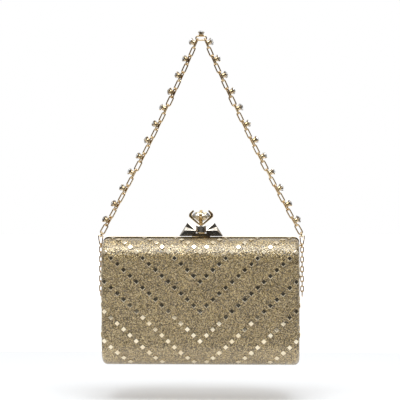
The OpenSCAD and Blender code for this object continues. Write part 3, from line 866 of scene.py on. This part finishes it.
# The floor's near sheet shows in what the bag reflects; the far ones don't. The near one's front
# edge lies FLOOR_FRONT away, and comes FLOOR_SLANT nearer for each metre to the right.
FLOOR_GAP = 33 * MM
FLOOR_Z = BASE_Z - FLOOR_GAP
FLOOR_FRONT = 0.84
FLOOR_SLANT = 0.8
FLOOR_BACK = 0.4
FLOOR_SIDE = 0.7
FLOOR_FAR = 6.0
TABLE_GLOW = 0.165
FAR_GLOW = 0.6

# how bright the room is, by direction
FRONT_LEVEL = 0.045
SIDE_LEVEL = 0.14
BACK_LEVEL = 0.8
TOP_LEVEL = 0.95

SOFTBOX_PLACE = Vector((0.05, -0.66, 1.2))
SOFTBOX_AIM = Vector((0, 0, -0.25))
SOFTBOX_SIZE = (1.3, 0.65)
SOFTBOX_WATTS = 14.5
SOFTBOX_TINT = (0.90, 0.95, 1.0)

CAMERA_AIM = Vector((-1.1 * MM, 0, -150.1 * MM))
CAMERA_DISTANCE = 1.3
CAMERA_AZIMUTH = math.radians(2.2)
FRAME_WIDTH = 0.3774
SENSOR_WIDTH = 36


def sheet_of(name, corners, material):
    """A flat piece of the stage."""
    bm = bmesh.new()
    bm.faces.new([bm.verts.new(Vector(c)) for c in corners])
    mesh = bpy.data.meshes.new(name)
    bm.to_mesh(mesh)
    bm.free()
    mesh.materials.append(material)
    made = bpy.data.objects.new(name, mesh)
    bpy.context.scene.collection.objects.link(made)
    return made


def studio_world():
    """White behind and overhead, dark in front where the camera stands, grey at the sides. The
    camera itself sees plain white."""
    world = bpy.data.worlds.new("studio")
    bpy.context.scene.world = world
    world.use_nodes = True
    tree = world.node_tree
    heading = node(tree, "ShaderNodeSeparateXYZ",
                   Vector=tree.nodes.new("ShaderNodeTexCoord").outputs["Generated"])
    east, north, up = heading.outputs
    top = spread(tree, up, 0.0, TOP_LEVEL, 0.44, 0.72)
    back = spread(tree, north, 0.0, BACK_LEVEL, 0.0, 0.45)
    side = spread(tree, math_node(tree, "ABSOLUTE", east), 0.0, SIDE_LEVEL, 0.45, 0.9)
    level = math_node(tree, "MAXIMUM", math_node(tree, "MAXIMUM", top, back),
                      math_node(tree, "MAXIMUM", side, FRONT_LEVEL))
    seen = tree.nodes.new("ShaderNodeLightPath").outputs["Is Camera Ray"]
    level = math_node(tree, "MAXIMUM", level, seen)
    put(tree, tree.nodes["Background"].inputs["Strength"], level)
    tree.nodes["Background"].inputs["Color"].default_value = (1, 1, 1, 1)


def paper(name, glow):
    """White card for the table, lit a little from below by its own glow."""
    made, _, shader, _ = new_material(name)
    for key, value in (("Base Color", (0.8, 0.8, 0.8, 1)), ("Roughness", 0.9),
                       ("Specular IOR Level", 0.1), ("Emission Color", (1, 1, 1, 1)),
                       ("Emission Strength", glow)):
        shader.inputs[key].default_value = value
    return made


def make_softbox():
    data = bpy.data.lights.new("top_softbox", "AREA")
    data.shape = "RECTANGLE"
    data.size, data.size_y = SOFTBOX_SIZE
    data.energy = SOFTBOX_WATTS
    data.color = SOFTBOX_TINT
    made = bpy.data.objects.new("top_softbox", data)
    bpy.context.scene.collection.objects.link(made)
    made.location = SOFTBOX_PLACE
    made.rotation_mode = "QUATERNION"
    made.rotation_quaternion = (SOFTBOX_AIM - SOFTBOX_PLACE).to_track_quat("-Z", "Y")


def make_stage():
    x, back, far, z = FLOOR_SIDE, FLOOR_BACK, FLOOR_FAR, FLOOR_Z
    left, right = -FLOOR_FRONT - x * FLOOR_SLANT, -FLOOR_FRONT + x * FLOOR_SLANT
    sheet_of("floor_near", [(-x, left, z), (x, right, z), (x, back, z), (-x, back, z)],
             paper("table_near", TABLE_GLOW))
    outer = paper("table_far", FAR_GLOW)
    for name, corners in (
            ("floor_front", [(-x, -far, z), (x, -far, z), (x, right, z), (-x, left, z)]),
            ("floor_left", [(-far, -far, z), (-x, -far, z), (-x, back, z), (-far, back, z)]),
            ("floor_right", [(x, -far, z), (far, -far, z), (far, back, z), (x, back, z)]),
            ("floor_back", [(-far, back, z), (far, back, z), (far, far, z), (-far, far, z)])):
        sheet_of(name, corners, outer).visible_glossy = False
    studio_world()
    make_softbox()


def make_camera():
    data = bpy.data.cameras.new("photo_camera")
    data.sensor_width = SENSOR_WIDTH
    data.lens = SENSOR_WIDTH * CAMERA_DISTANCE / FRAME_WIDTH
    made = bpy.data.objects.new("photo_camera", data)
    bpy.context.scene.collection.objects.link(made)
    back = Vector((math.sin(CAMERA_AZIMUTH), -math.cos(CAMERA_AZIMUTH), 0))
    made.location = CAMERA_AIM + back * CAMERA_DISTANCE
    made.rotation_mode = "QUATERNION"
    made.rotation_quaternion = (-back).to_track_quat("-Z", "Y")
    bpy.context.scene.camera = made
    bpy.context.scene.view_settings.view_transform = "Standard"


make_camera()
make_stage()
make_case_metal()
make_covers()
make_linings()
make_pocket()
make_studs()
make_chain()
make_clasp()
